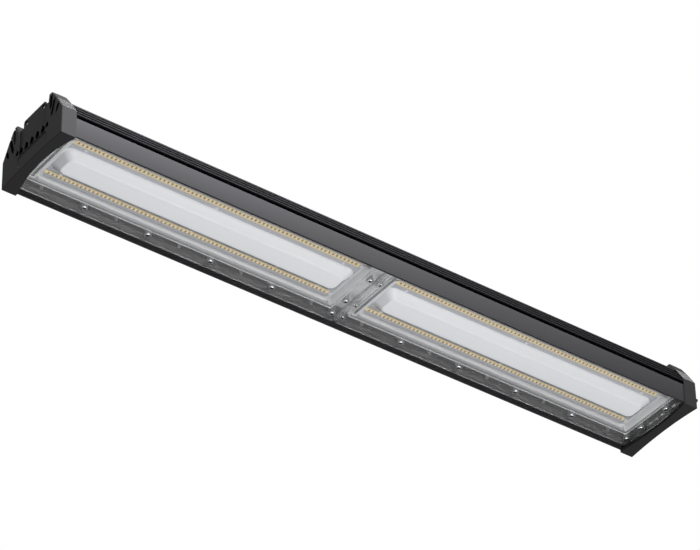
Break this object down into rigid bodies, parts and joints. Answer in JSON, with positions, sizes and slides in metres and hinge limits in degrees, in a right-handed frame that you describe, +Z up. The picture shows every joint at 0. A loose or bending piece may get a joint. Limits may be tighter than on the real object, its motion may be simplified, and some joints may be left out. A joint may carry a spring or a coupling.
{
  "type": "linear high bay light",
  "caption": "Long suspended high bay light with a finned dark housing, two clear lenses over rows of light chips, and horned end caps with hanging lugs.",
  "frame": {"origin": "centred under the light, level with the lowest corners of the two end caps", "axes": "+X along the length towards the end with the cable gland, +Y across, +Z up; the light shines towards -Z"},
  "size_m": [1.184, 0.1606, 0.095],
  "materials": {
    "painted_aluminium": "satin dark grey paint",
    "black_plastic": "fine matt grain",
    "clear_polycarbonate": "clear moulded polycarbonate, glossy",
    "silicone": "translucent silicone",
    "rubber_seal": "matt",
    "zinc_plated_screws": "zinc plated",
    "board": "white lacquered aluminium board",
    "thermal_pad": "matt",
    "led": "pale phosphor",
    "white_plastic": "matt white",
    "driver_case": "plain",
    "bare_aluminium": "plain",
    "black_bar": "satin black paint"
  },
  "bodies": {
    "root": {"board_connectors_left": "white_plastic", "board_connectors_right": "white_plastic", "board_screws_left": "zinc_plated_screws", "board_screws_right": "zinc_plated_screws", "driver_left": "driver_case", "driver_right": "driver_case", "end_cap_left": "black_plastic", "end_cap_right": "black_plastic", "end_cap_screws_left": "zinc_plated_screws", "end_cap_screws_right": "zinc_plated_screws", "end_gasket_left": "rubber_seal", "end_gasket_right": "rubber_seal", "end_plate_left": "bare_aluminium", "end_plate_right": "bare_aluminium", "end_plate_screws_left": "zinc_plated_screws", "end_plate_screws_right": "zinc_plated_screws", "gland_body": "black_plastic", "gland_locknut": "black_plastic", "gland_nut": "black_plastic", "gland_seal": "rubber_seal", "housing": "painted_aluminium", "led_board_left": "board", "led_board_right": "board", "leds_far_left": "led", "leds_far_right": "led", "leds_near_left": "led", "leds_near_right": "led", "lens_gasket_left": "silicone", "lens_gasket_right": "silicone", "lens_left": "clear_polycarbonate", "lens_right": "clear_polycarbonate", "lens_screws_left": "zinc_plated_screws", "lens_screws_right": "zinc_plated_screws", "reflector_left": "white_plastic", "reflector_right": "white_plastic", "terminal_block": "white_plastic", "thermal_pad_left": "thermal_pad", "thermal_pad_right": "thermal_pad", "tray_bar_left": "black_bar", "tray_bar_middle": "bare_aluminium", "tray_bar_right": "black_bar", "vent_plug": "black_plastic"}
  },
  "joints": []
}
